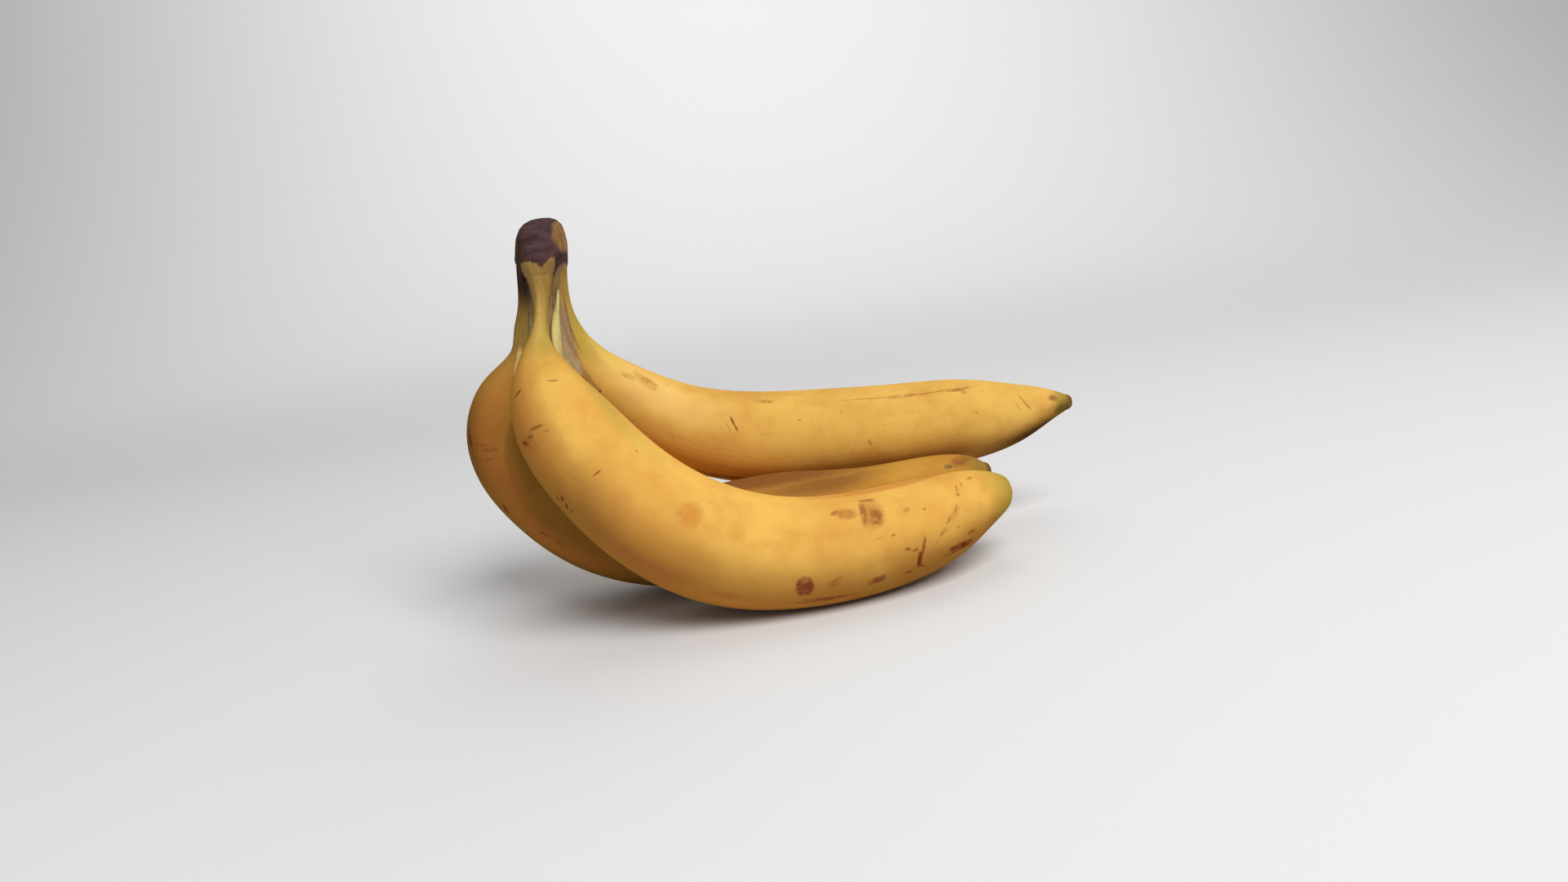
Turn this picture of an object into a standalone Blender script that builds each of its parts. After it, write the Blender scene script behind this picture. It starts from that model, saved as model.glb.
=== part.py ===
"""A small hand of three ripe bananas, joined at its crown and lying on its bellies.

Metres, +Z up. +X runs from the crown to the tips, +Y from the front finger to the rear one.
The origin is on the surface that the hand lies on, under the middle of its bounding box.
"""

import math

import bmesh
import bpy
import numpy as np
from mathutils import Vector

MM = 0.001

# Each finger's centreline, from inside the crown to the blossom end: x, y, z and half thickness, in mm.
FRONT_PATH = (
    (-71, 0, 118, 4.6),
    (-72.5, -3, 103, 3.2),
    (-73.5, -8, 92.5, 4.4),
    (-73, -17, 83.5, 8.9),
    (-70, -25, 71, 13.5),
    (-61, -28.5, 56, 16.5),
    (-45, -30, 37, 18.4),
    (-26, -30.5, 24, 19),
    (0, -30, 17.3, 17.6),
    (27, -25.5, 17, 16.2),
    (46, -19, 19.2, 14),
    (58, -13.5, 21.4, 10.8),
    (65.8, -9.5, 22, 7),
    (69, -6, 21.6, 3.6),
)
REAR_PATH = (
    (-67.5, 9.5, 118, 3.9),
    (-69, 12, 101, 3.6),
    (-66.5, 16, 85.5, 6.2),
    (-56, 21.5, 69, 10.8),
    (-35.5, 27, 52.3, 14.9),
    (-12, 29.5, 44, 16.7),
    (17, 31, 40.5, 17.2),
    (44, 32, 39, 16.6),
    (65, 32, 38.8, 15.2),
    (83, 32, 39.1, 11.4),
    (95.5, 31.5, 40.4, 6.4),
    (103, 31, 40.7, 2.9),
)
OUTER_PATH = (
    (-75.6, 9, 118, 3.8),
    (-79, 8, 101, 3.5),
    (-83, 7.5, 88, 4.8),
    (-88.8, 6, 74.5, 11.8),
    (-90.2, 5, 61.5, 16.6),
    (-82.8, 5, 42.8, 17.6),
    (-66, 5, 25.6, 17.4),
    (-37, 5.5, 15.9, 16.5),
    (-7, 6.5, 15.9, 16.2),
    (21, 7.5, 17.7, 14.4),
    (43, 9, 20.8, 11.6),
    (57, 10, 23.3, 8.6),
    (64, 10, 24.3, 5.4),
    (67, 10, 24.4, 3.2),
)

# A finger's section is a soft pentagon; near the crown the stalk is deeper than it is wide.
RIDGES = 5
RIDGE_RISE = 0.028
RIDGE_TURN = math.radians(12)
STALK_DEPTH = 1.3
STALK_END = 0.16
FINGER_RINGS = 36
FINGER_SIDES = 30

# The dried flower end is a short stub.
STUB_LENGTH = 2.2
STUB_TAPER = 0.8

# The crown: a woody cushion cut from the bunch, its base where the stalks part from one another.
CROWN_BASE = (-71.7, 4.2, 112)
CROWN_TOP = (-69, 4.2, 130.4)
CROWN_HALF_WIDTH = 8
CROWN_HALF_DEPTH = 11.5
CROWN_SIDES = 32
CROWN_SQUARENESS = 2.6
CROWN_STATIONS = ((0, 0.96), (0.25, 0.98), (0.5, 1), (0.7, 0.95), (0.84, 0.83), (0.94, 0.63), (1, 0.34))

# The whole hand moves by this much, so that the middle of its box is over the origin.
CENTRING = (0.7, 0, 0)

# What is left between two pieces that meet, and the surface that the hand lies on.
GAP = 0.3
SURFACE = 0.0

# Points nearer to a cut than the first are on it, and points nearer to each other than the second are one.
CUT_TOLERANCE = 0.001
WELD = 0.02

# Edges sharper than this are drawn as edges: the flats and the ends.
CREASE = math.radians(40)

FINGER_YELLOW = (0.80, 0.50, 0.12, 1)
OUTER_YELLOW = (0.66, 0.39, 0.09, 1)
CROWN_BROWN = (0.075, 0.045, 0.04, 1)
PEEL_ROUGHNESS = 0.5
CROWN_ROUGHNESS = 0.8


def smooth_path(points, count):
    """Even steps along the natural cubic curve through the points, and each step's share of the length."""
    p = np.array(points, dtype=float)
    knots = np.concatenate(([0], np.cumsum(np.linalg.norm(np.diff(p[:, :3], axis=0), axis=1))))
    step = np.diff(knots)
    last = len(p) - 1
    matrix = np.eye(last + 1)
    bends = np.zeros_like(p)
    for i in range(1, last):
        matrix[i, i - 1:i + 2] = (step[i - 1], 2 * (step[i - 1] + step[i]), step[i])
        bends[i] = 6 * ((p[i + 1] - p[i]) / step[i] - (p[i] - p[i - 1]) / step[i - 1])
    bends = np.linalg.solve(matrix, bends)
    share = np.linspace(0, 1, count)
    along = share * knots[-1]
    i = np.clip(np.searchsorted(knots, along, side="right") - 1, 0, last - 1)
    t = (along - knots[i])[:, None]
    h = step[i][:, None]
    slope = (p[i + 1] - p[i]) / h - h * (2 * bends[i] + bends[i + 1]) / 6
    curve = p[i] + slope * t + bends[i] * t ** 2 / 2 + (bends[i + 1] - bends[i]) / (6 * h) * t ** 3
    return curve.tolist(), share.tolist()


def section(centre, forward, half, depth):
    """One ring of a finger: a soft pentagon across its centreline."""
    side = Vector((0, 1, 0))
    side = (side - side.dot(forward) * forward).normalized()
    rise = side.cross(forward)
    ring = []
    for i in range(FINGER_SIDES):
        angle = 2 * math.pi * i / FINGER_SIDES
        reach = half * (1 + RIDGE_RISE * math.cos(RIDGES * (angle - RIDGE_TURN)))
        ring.append(centre + reach * (math.cos(angle) * rise + depth * math.sin(angle) * side))
    return ring


def skin(rings):
    """A closed mesh over the rings, with a flat face at each end."""
    shape = bmesh.new()
    rows = [[shape.verts.new(point * MM) for point in ring] for ring in rings]
    for low, high in zip(rows, rows[1:]):
        for i in range(len(low)):
            j = (i + 1) % len(low)
            shape.faces.new((low[i], low[j], high[j], high[i]))
    shape.faces.new(rows[0][::-1])
    shape.faces.new(rows[-1])
    bmesh.ops.recalc_face_normals(shape, faces=shape.faces)
    return shape


def cut_flat(shape, point, away):
    """Slice off what lies on the side that away points to, and close the cut with one flat face."""
    geometry = shape.verts[:] + shape.edges[:] + shape.faces[:]
    cut = bmesh.ops.bisect_plane(
        shape, geom=geometry, dist=CUT_TOLERANCE * MM, plane_co=point * MM, plane_no=away, clear_outer=True)
    edges = [item for item in cut["geom_cut"] if isinstance(item, bmesh.types.BMEdge)]
    bmesh.ops.edgeloop_fill(shape, edges=edges)
    bmesh.ops.remove_doubles(shape, verts=shape.verts, dist=WELD * MM)
    bmesh.ops.recalc_face_normals(shape, faces=shape.faces)


def place(name, shape, colour, roughness):
    """Put a finished mesh in the scene as one named piece with its own material."""
    bmesh.ops.translate(shape, verts=shape.verts, vec=Vector(CENTRING) * MM)
    mesh = bpy.data.meshes.new(name)
    shape.to_mesh(mesh)
    shape.free()
    mesh.shade_smooth()
    mesh.set_sharp_from_angle(angle=CREASE)
    material = bpy.data.materials.new(name)
    material.use_nodes = True
    surface = material.node_tree.nodes["Principled BSDF"]
    surface.inputs["Base Color"].default_value = colour
    surface.inputs["Roughness"].default_value = roughness
    surface.inputs["Metallic"].default_value = 0
    mesh.materials.append(material)
    piece = bpy.data.objects.new(name, mesh)
    bpy.context.collection.objects.link(piece)


def finger(name, path, colour):
    """One banana: stalk, ridged body and dried flower end in a single skin."""
    curve, share = smooth_path(path, FINGER_RINGS)
    centres = [Vector(row[:3]) for row in curve]
    rings = []
    for i, centre in enumerate(centres):
        forward = (centres[min(i + 1, len(centres) - 1)] - centres[max(i - 1, 0)]).normalized()
        fade = max(0, 1 - share[i] / STALK_END)
        depth = 1 + (STALK_DEPTH - 1) * fade
        rings.append(section(centre, forward, curve[i][3], depth))
    stub_end = centres[-1] + forward * STUB_LENGTH
    rings.append(section(stub_end, forward, curve[-1][3] * STUB_TAPER, 1))
    shape = skin(rings)
    crown_axis = (Vector(CROWN_TOP) - Vector(CROWN_BASE)).normalized()
    cut_flat(shape, Vector(CROWN_BASE) - crown_axis * GAP, crown_axis)
    if min(corner.co.z for corner in shape.verts) < SURFACE:
        cut_flat(shape, Vector((0, 0, SURFACE)), Vector((0, 0, -1)))
    place(name, shape, colour, PEEL_ROUGHNESS)


def crown():
    """The woody cushion that the three stalks grow from."""
    base = Vector(CROWN_BASE)
    rise = Vector(CROWN_TOP) - base
    up = rise.normalized()
    depth = Vector((0, 1, 0))
    width = depth.cross(up)
    rings = []
    for share, size in CROWN_STATIONS:
        ring = []
        for i in range(CROWN_SIDES):
            angle = 2 * math.pi * i / CROWN_SIDES
            c = math.cos(angle)
            s = math.sin(angle)
            reach = (abs(c) ** CROWN_SQUARENESS + abs(s) ** CROWN_SQUARENESS) ** (-1 / CROWN_SQUARENESS)
            across = width * CROWN_HALF_WIDTH * c + depth * CROWN_HALF_DEPTH * s
            ring.append(base + rise * share + across * reach * size)
        rings.append(ring)
    shape = skin(rings)
    place("crown", shape, CROWN_BROWN, CROWN_ROUGHNESS)


for old in list(bpy.data.objects):
    bpy.data.objects.remove(old)

finger("banana_front", FRONT_PATH, FINGER_YELLOW)
finger("banana_rear", REAR_PATH, FINGER_YELLOW)
finger("banana_outer", OUTER_PATH, OUTER_YELLOW)
crown()
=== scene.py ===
import math

import bpy
import numpy as np
from mathutils import Matrix, Vector, noise


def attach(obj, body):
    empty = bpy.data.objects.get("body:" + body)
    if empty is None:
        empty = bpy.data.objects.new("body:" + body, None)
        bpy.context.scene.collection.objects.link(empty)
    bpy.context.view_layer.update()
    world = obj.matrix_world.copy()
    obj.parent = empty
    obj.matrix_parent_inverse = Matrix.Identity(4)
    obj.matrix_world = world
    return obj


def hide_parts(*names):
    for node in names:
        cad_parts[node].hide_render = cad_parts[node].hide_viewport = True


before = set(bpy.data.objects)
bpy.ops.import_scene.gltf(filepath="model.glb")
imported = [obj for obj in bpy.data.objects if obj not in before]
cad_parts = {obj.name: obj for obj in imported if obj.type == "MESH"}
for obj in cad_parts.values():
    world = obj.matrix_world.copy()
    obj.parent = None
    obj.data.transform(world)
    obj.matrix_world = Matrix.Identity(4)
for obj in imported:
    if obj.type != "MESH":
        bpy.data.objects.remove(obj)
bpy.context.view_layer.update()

# Front banana
# The ripe finger nearest to the camera. It grew from the crown on its own stalk, bends down to its belly,
# on which it lies, and turns its dried flower end to the back. Its skin is waxy yellow peel with old rubs.

# Its centreline from inside the crown to the flower end: x, y, z and half thickness in mm, and how many
# times it is deeper than wide.
FRONT_LINE = (
    (-71, -0.6, 119, 5.4, 1.1),
    (-71.5, -1.1, 113.5, 4.5, 1.3),
    (-72, -2, 107.5, 2.9, 1.75),
    (-72.8, -3.9, 100.5, 2, 2.2),
    (-73.4, -6.5, 95, 2.6, 2),
    (-73.5, -10.4, 90, 4.4, 1.45),
    (-72.7, -17, 83.5, 8.6, 1.1),
    (-69, -25, 71, 14.5, 1),
    (-60.6, -28.5, 56, 16.9, 1),
    (-45, -30, 37, 18.4, 1),
    (-26, -30.5, 24, 19, 1),
    (0, -30, 17.3, 17.6, 1),
    (27, -25.5, 17, 16.2, 1),
    (46, -19, 19.2, 14, 1),
    (58, -13.5, 21.4, 10.8, 1),
    (65.8, -9.5, 22, 7, 1),
    (69, -6, 21.6, 3.6, 1),
)

# Its ridges: where they run round the finger in degrees, and how far they stand out in mm.
# 0 degrees faces the front, 90 the outside of the bend, -90 the inside of the bend.
FRONT_RIDGES = ((-60, 0.55), (28, 0.35), (100, 0.6), (168, 0.5), (-128, 0.6))

# The hand is moved by this much so that the middle of its box is over the origin.
HAND_SHIFT = (0.7, 0, 0)

MM = 0.001

# How many rings a finger's skin has along it, and how many points each ring has.
RINGS = 340
SIDES = 128

# The flower end is a short blunt stub, sunk in the middle: how far each of its rings is past the end of the
# centreline in mm, and its size as a share of the last ring's.
STUB = ((0.5, 0.96), (1, 0.89), (1.4, 0.79), (1.75, 0.65), (2, 0.48), (2.05, 0.32), (1.95, 0.14))

# Where relief starts on the stalk and where the neck becomes the body, in mm along the finger, and where the
# tip starts and ends, in mm from the flower end.
RELIEF_STARTS = (14, 24)
NECK = (18, 60)
TIP = (34, 4)

# A ridge wanders this far and is this wide, in radians. The skin between ridges is sunk by a share of their
# height. That height sways along the finger, grows by a share towards the tip, and is less where the half
# thickness is under 9 mm.
RIDGE_WANDER = math.radians(3)
RIDGE_WIDTH = 0.3
RIDGE_SINK = 0.17
RIDGE_LEAST = 0.55
RIDGE_SWAY = 0.45
RIDGE_AT_TIP = 0.4
FULL_RIDGES = 9

# The height of the skin's slow waves and of the stalk's fine creases, in mm, and the power of the thickness
# with which all relief shrinks.
WAVE_HEIGHT = 0.13
CREASE_HEIGHT = 0.1
RELIEF_POWER = 0.25

# The middle of the neck, where the stalks run up into the crown: x, y and z in mm, and how far it leans to
# the right for each mm of height.
NECK_MIDDLE = (-71, 4.2, 112)
NECK_LEAN = 0.147

# The crown's bark reaches down over the stalks in lobes: degrees round the neck from the front towards the
# flower ends, and the height of its lower edge in mm.
BARK_EDGE = (
    (-180, 113.5), (-150, 112), (-120, 108), (-90, 104), (-60, 105), (-42, 108), (-32, 113), (-24, 117.4),
    (-16, 117.6), (-5, 117.2), (2, 116.6), (6, 115.7), (11, 115.2), (15.5, 115.8), (20, 117.2), (26, 118),
    (33, 117.8), (40, 113.5), (46, 110.8), (52, 111), (58, 113.5), (64, 115), (75, 115.2), (95, 115.5),
    (130, 114.5), (180, 113.5),
)


def smooth_line(points, count):
    """Even steps along the natural cubic curve through the points, and the length up to each step."""
    stops = np.array(points, dtype=float)
    knots = np.concatenate(([0], np.cumsum(np.linalg.norm(np.diff(stops[:, :3], axis=0), axis=1))))
    step = np.diff(knots)
    last = len(stops) - 1
    matrix = np.eye(last + 1)
    bends = np.zeros_like(stops)
    for i in range(1, last):
        matrix[i, i - 1:i + 2] = (step[i - 1], 2 * (step[i - 1] + step[i]), step[i])
        bends[i] = 6 * ((stops[i + 1] - stops[i]) / step[i] - (stops[i] - stops[i - 1]) / step[i - 1])
    bends = np.linalg.solve(matrix, bends)
    along = np.linspace(0, knots[-1], count)
    i = np.clip(np.searchsorted(knots, along, side="right") - 1, 0, last - 1)
    past = (along - knots[i])[:, None]
    span = step[i][:, None]
    slope = (stops[i + 1] - stops[i]) / span - span * (2 * bends[i] + bends[i + 1]) / 6
    curve = stops[i] + slope * past + bends[i] * past ** 2 / 2
    curve = curve + (bends[i + 1] - bends[i]) / (6 * span) * past ** 3
    return curve, along


def ease(low, high, value):
    """0 on low's side, 1 on high's side and a smooth rise between them."""
    share = np.clip((value - low) / (high - low), 0, 1)
    return share * share * (3 - 2 * share)


def cross_frames(centres):
    """The forward, front and outer directions at each step of a centreline."""
    forward = np.gradient(centres, axis=0)
    forward /= np.linalg.norm(forward, axis=1)[:, None]
    back = np.array([0.0, 1.0, 0.0]) - forward[:, 1:2] * forward
    back /= np.linalg.norm(back, axis=1)[:, None]
    return forward, -back, np.cross(back, forward)


def above_edge(points):
    """How far above the lower edge of the crown's bark each point is, in mm."""
    x, y, z = points.T
    right = x - NECK_MIDDLE[0] - (z - NECK_MIDDLE[2]) * NECK_LEAN
    round_it = np.degrees(np.arctan2(right, NECK_MIDDLE[1] - y))
    angles, heights = np.array(BARK_EDGE).T
    return z - np.interp(round_it, angles, heights)


def skin_relief(along, half, turn, length, ridges, seed):
    """How far the peel stands out from a plain round finger in mm: its ridges, slow waves and creases.

    The lengths by which along is divided are those of waves, in mm for each radian.
    """
    neck = 1 - ease(*NECK, along)
    tip = ease(length - TIP[0], length - TIP[1], along)
    relief = np.zeros((len(half), SIDES))
    for i, (angle, height) in enumerate(ridges):
        wander = RIDGE_WANDER * np.sin(along / 31 + seed + i * 2.1)
        gap = (turn[None, :] - math.radians(angle) - wander[:, None] + math.pi) % (2 * math.pi) - math.pi
        bump = np.exp(-(gap / RIDGE_WIDTH) ** 2) - RIDGE_SINK
        size = height * (RIDGE_LEAST + RIDGE_SWAY * np.sin(along / 47 + i * 1.7 + seed)[:, None] ** 2)
        size = bump * size * (1 + RIDGE_AT_TIP * tip[:, None])
        relief += size * np.minimum(1, half / FULL_RIDGES)[:, None]
    waves = np.sin(along / 17 + seed)[:, None] * np.cos(turn * 2 + seed)[None, :]
    waves = waves + 0.8 * np.sin(along / 9.5 + seed * 2)[:, None] * np.cos(turn * 3 + seed * 3)[None, :]
    relief += WAVE_HEIGHT * waves * (1 - 0.6 * neck)[:, None]
    creases = np.cos(turn * 7 + 0.8 * np.sin(along / 9)[:, None] + seed) + 0.6 * np.cos(turn * 13 + seed * 5)
    relief += CREASE_HEIGHT * creases * neck[:, None]
    relief *= ease(*RELIEF_STARTS, along)[:, None]
    return relief * (half / half.max())[:, None] ** RELIEF_POWER


def loft_faces(rings, sides):
    """The faces of a closed shape over rings of equal counts: four-sided ones, then the two ends."""
    ring, side = np.meshgrid(np.arange(rings - 1), np.arange(sides), indexing="ij")
    after = (side + 1) % sides
    quads = np.stack((ring * sides + side, ring * sides + after, (ring + 1) * sides + after,
                      (ring + 1) * sides + side), axis=-1).reshape(-1, 4)
    return quads.tolist() + [list(range(sides))[::-1], list(range((rings - 1) * sides, rings * sides))]


def store(mesh, name, values):
    """Keep one number at each point of a mesh, for its material to read."""
    mesh.attributes.new(name, "FLOAT", "POINT").data.foreach_set("value", values)


def banana_skin(name, line, ridges, seed):
    """One finger's peel: stalk, ridged body and dried flower end, in a single closed skin.

    Its material reads "peel", which is (length along, length round from the front) in mm, "wood", which is
    the same point on a straight finger and has no seam, and "bark", the height over the bark's edge.
    """
    curve, along = smooth_line(line, RINGS)
    centres = curve[:, :3] + np.array(HAND_SHIFT)
    half = curve[:, 3]
    deep = curve[:, 4]
    length = along[-1]
    forward, front, outer = cross_frames(centres)
    for reach, size in STUB:
        centres = np.vstack((centres, centres[RINGS - 1] + forward[RINGS - 1] * reach))
        half = np.append(half, half[RINGS - 1] * size)
        deep = np.append(deep, 1)
        along = np.append(along, length + reach)
    front, outer = (np.vstack((way, np.repeat(way[-1:], len(STUB), axis=0))) for way in (front, outer))

    turn = np.linspace(-math.pi, math.pi, SIDES, endpoint=False)
    reach = half[:, None] + skin_relief(along, half, turn, length, ridges, seed)
    across = np.cos(turn)[None, :, None] * front[:, None, :] * deep[:, None, None]
    across = across + np.sin(turn)[None, :, None] * outer[:, None, :]
    points = centres[:, None, :] + reach[:, :, None] * across
    # The belly is pressed flat where it lies.
    points[:, :, 2] = np.maximum(points[:, :, 2], 0)
    points = points.reshape(-1, 3)
    mesh = bpy.data.meshes.new(name)
    mesh.from_pydata((points * MM).tolist(), [], loft_faces(len(half), SIDES))
    mesh.validate()
    mesh.shade_smooth()

    # The seam is at the back, where the length round jumps from one side to the other.
    index = np.zeros(len(mesh.loops), dtype=int)
    mesh.loops.foreach_get("vertex_index", index)
    step = index % SIDES
    arc = turn[step]
    last_column = np.repeat(np.arange((len(half) - 1) * SIDES) % SIDES == SIDES - 1, 4)
    quads = len(last_column)
    arc[:quads] = np.where(last_column & (step[:quads] == 0), math.pi, arc[:quads])
    peel = np.zeros((len(mesh.loops), 3))
    peel[:, 0] = along[index // SIDES]
    peel[:, 1] = arc * half[index // SIDES]
    mesh.attributes.new("peel", "FLOAT_VECTOR", "CORNER").data.foreach_set("vector", peel.ravel())
    wood = np.stack(np.broadcast_arrays(
        along[:, None], half[:, None] * np.cos(turn), half[:, None] * np.sin(turn)), axis=-1)
    mesh.attributes.new("wood", "FLOAT_VECTOR", "POINT").data.foreach_set("vector", wood.ravel())
    store(mesh, "bark", above_edge(points))
    skin = bpy.data.objects.new(name, mesh)
    bpy.context.collection.objects.link(skin)
    return skin, length


def tone(red, green, blue):
    """A colour given as it looks on a screen, 0 to 255."""
    shares = [c / 255 for c in (red, green, blue)]
    return tuple(c / 12.92 if c <= 0.04045 else ((c + 0.055) / 1.055) ** 2.4 for c in shares) + (1.0,)


def plug_in(tree, inputs, sockets):
    """Fill a node's sockets. Each takes a value or another node's output."""
    for socket, value in inputs.items():
        if isinstance(value, bpy.types.NodeSocket):
            tree.links.new(value, sockets[socket])
        else:
            sockets[socket].default_value = value


def node(tree, kind, inputs=None, **settings):
    """Add a shader node with its settings and its inputs."""
    made = tree.nodes.new("ShaderNode" + kind)
    for key, value in settings.items():
        setattr(made, key, value)
    plug_in(tree, inputs or {}, made.inputs)
    return made


def reckon(tree, kind, first, second=0.0, third=0.0):
    """One step of arithmetic on a value."""
    return node(tree, "Math", {0: first, 1: second, 2: third}, operation=kind).outputs[0]


def scaled(tree, value, size):
    """A value times another."""
    return reckon(tree, "MULTIPLY", value, size)


def waver(tree, value, cloud, size):
    """A value pushed up and down by noise that is about 0.5."""
    return reckon(tree, "MULTIPLY_ADD", reckon(tree, "SUBTRACT", cloud, 0.5), size, value)


def reckon_vector(tree, kind, inputs, output="Vector"):
    """One step of arithmetic on a vector."""
    return node(tree, "VectorMath", inputs, operation=kind).outputs[output]


def over(tree, mask, under, top):
    """One colour laid over another where the mask is 1."""
    return node(tree, "Mix", {0: mask, 6: under, 7: top}, data_type="RGBA").outputs[2]


def fade(tree, value, low, high, start=0.0, end=1.0):
    """A smooth change from start to end as the value goes from low to high."""
    return node(tree, "MapRange", {"Value": value, "From Min": low, "From Max": high, "To Min": start,
                                   "To Max": end}, interpolation_type="SMOOTHSTEP").outputs[0]


def grain(tree, place, scale, detail=2.0, rough=0.5):
    """Cloudy noise, about 0.5. Its scale is in waves per mm."""
    return node(tree, "TexNoise", {"Vector": place, "Scale": scale, "Detail": detail,
                                   "Roughness": rough}).outputs["Fac"]


def stretched(tree, place, scale):
    """The place multiplied by a scale in each direction: a small one draws a pattern out."""
    return node(tree, "Mapping", {"Vector": place, "Scale": scale}).outputs[0]


def place_in_mm(tree):
    """Where the point is in the piece, in mm."""
    return reckon_vector(tree, "SCALE", {0: node(tree, "TexCoord").outputs["Object"], 3: 1000.0})


def stored(tree, name, output="Fac"):
    """What the mesh keeps under a name."""
    return node(tree, "Attribute", attribute_name=name).outputs[output]


def new_effect(name, inputs, outputs):
    """An empty shader node group with named sockets: its tree, what enters it and what leaves it."""
    tree = bpy.data.node_groups.new(name, "ShaderNodeTree")
    kinds = {"f": "NodeSocketFloat", "v": "NodeSocketVector", "c": "NodeSocketColor"}
    for label, kind in inputs:
        tree.interface.new_socket(name=label, in_out="INPUT", socket_type=kinds[kind])
    for label, kind in outputs:
        tree.interface.new_socket(name=label, in_out="OUTPUT", socket_type=kinds[kind])
    return tree, tree.nodes.new("NodeGroupInput").outputs, tree.nodes.new("NodeGroupOutput").inputs


def place_effect(tree, effect, inputs):
    """Place a node group in a material, with its own values."""
    return node(tree, "Group", inputs, node_tree=effect).outputs


def new_material(name):
    """A material without nodes, and its tree."""
    material = bpy.data.materials.new(name)
    material.use_nodes = True
    material.node_tree.nodes.clear()
    return material, material.node_tree


# Ripe peel: yellow that clouds into ochre, with faint streaks along the finger and a fine mottle, painted
# shade that browns the belly side, green left at both ends and pin-point flecks. Lengths are in mm.
STREAK_STRENGTH = 0.16
MOTTLE_STRENGTH = 0.28
NECK_GREEN_STRENGTH = 0.75
TIP_GREEN_STRENGTH = 0.85
FLECK_STRENGTH = 0.6
FLECK = tone(150, 98, 48)
ripe_peel, enter, leave = new_effect(
    "ripe_peel",
    (("Peel", "v"), ("Wood", "v"), ("Place", "v"), ("Ripe", "c"), ("Ochre", "c"), ("Green", "c"),
     ("Underside Shade", "c"), ("Underside Shade Strength", "f"), ("Neck Green", "f"), ("Tip Green", "f"), ("Length", "f"),
     ("Clouds", "f")),
    (("Color", "c"), ("Height", "f"), ("Roughness", "f")))
tree = ripe_peel
along = node(tree, "SeparateXYZ", {0: enter["Peel"]}).outputs[0]
cloud = fade(tree, grain(tree, enter["Place"], 0.035, 3.0), 0.38, 0.68)
streak_place = stretched(tree, enter["Wood"], (0.025, 0.33, 0.33))
streak = fade(tree, grain(tree, streak_place, 1.0, 4.0, 0.6), 0.42, 0.7)
tint = over(tree, scaled(tree, cloud, enter["Clouds"]), enter["Ripe"], enter["Ochre"])
tint = over(tree, scaled(tree, streak, STREAK_STRENGTH), tint, enter["Ochre"])
mottle = fade(tree, grain(tree, enter["Place"], 0.14, 4.0, 0.65), 0.45, 0.7)
tint = over(tree, scaled(tree, mottle, MOTTLE_STRENGTH), tint, enter["Ochre"])

# Painted shade on the belly side: how far round towards the belly, from -1 at the inside of the bend to 1 at
# its outside, on the body alone.
round_it = reckon_vector(tree, "MULTIPLY", {0: enter["Wood"], 1: (0.0, 1.0, 1.0)})
round_it = reckon_vector(tree, "NORMALIZE", {0: round_it})
below = waver(tree, node(tree, "SeparateXYZ", {0: round_it}).outputs[2], cloud, 0.14)
below = scaled(tree, fade(tree, below, -0.36, 0.58), fade(tree, along, 35.0, 60.0))
tint = over(tree, scaled(tree, below, enter["Underside Shade Strength"]), tint, enter["Underside Shade"])

# Green runs down the neck in streaks, and is left round the flower end.
edge = reckon(tree, "MULTIPLY_ADD", streak, 9.0, along)
neck_green = fade(tree, edge, scaled(tree, enter["Neck Green"], 0.45), enter["Neck Green"], 1.0, 0.0)
from_tip = reckon(tree, "SUBTRACT", enter["Length"], along)
tip_green = fade(tree, from_tip, 2.0, enter["Tip Green"], 1.0, 0.0)
green = reckon(tree, "MAXIMUM", scaled(tree, neck_green, NECK_GREEN_STRENGTH),
               scaled(tree, tip_green, TIP_GREEN_STRENGTH))
tint = over(tree, green, tint, enter["Green"])

# A fleck lies in the middle of the rarer cells alone.
cells = node(tree, "TexVoronoi", {"Vector": enter["Place"], "Scale": 0.16})
rare = node(tree, "SeparateColor", {0: cells.outputs["Color"]}).outputs[0]
fleck_size = fade(tree, rare, 0.6, 1.0, 0.0, 0.08)
fleck = reckon(tree, "SUBTRACT", cells.outputs["Distance"], fleck_size)
fleck = fade(tree, fleck, -0.03, 0.01, FLECK_STRENGTH, 0.0)
tint = over(tree, fleck, tint, FLECK)
pores = grain(tree, enter["Place"], 1.1, 3.0, 0.6)
height = reckon(tree, "MULTIPLY_ADD", streak, 0.5, pores)
rough = fade(tree, cloud, 0.0, 1.0, 0.42, 0.54)
plug_in(tree, {"Color": tint, "Height": height, "Roughness": rough}, leave)

# The crown's bark, and the stalk that comes out from under it: dried purple-brown with a tan scar and long
# fibres, ending in a ragged edge over olive-tan stalk. "Above" is the height over that edge in mm.
FIBRE_STRENGTH = 0.45
SCAR_PLACE = (-59.4, 1, 124)
SCAR_SIZE = (5.2, 11, 6)
SCAR_STRENGTH = 0.9
UPPER_STALK_STRENGTH = 0.6
crown_bark, enter, leave = new_effect(
    "crown_bark", (("Place", "v"), ("Above", "f")),
    (("Bark", "c"), ("Cover", "f"), ("Stalk", "c"), ("Neck", "f"), ("Height", "f")))
tree = crown_bark
fibre = grain(tree, stretched(tree, enter["Place"], (1, 1, 0.14)), 0.8, 5.0, 0.6)
blot = grain(tree, enter["Place"], 0.24, 3.0)
band = grain(tree, stretched(tree, enter["Place"], (0.5, 0.5, 1.6)), 0.28, 4.0, 0.6)
bark = over(tree, fade(tree, band, 0.4, 0.62), tone(64, 45, 45), tone(86, 62, 63))
bark = over(tree, scaled(tree, fade(tree, fibre, 0.5, 0.72), FIBRE_STRENGTH), bark, tone(62, 46, 38))

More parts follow.
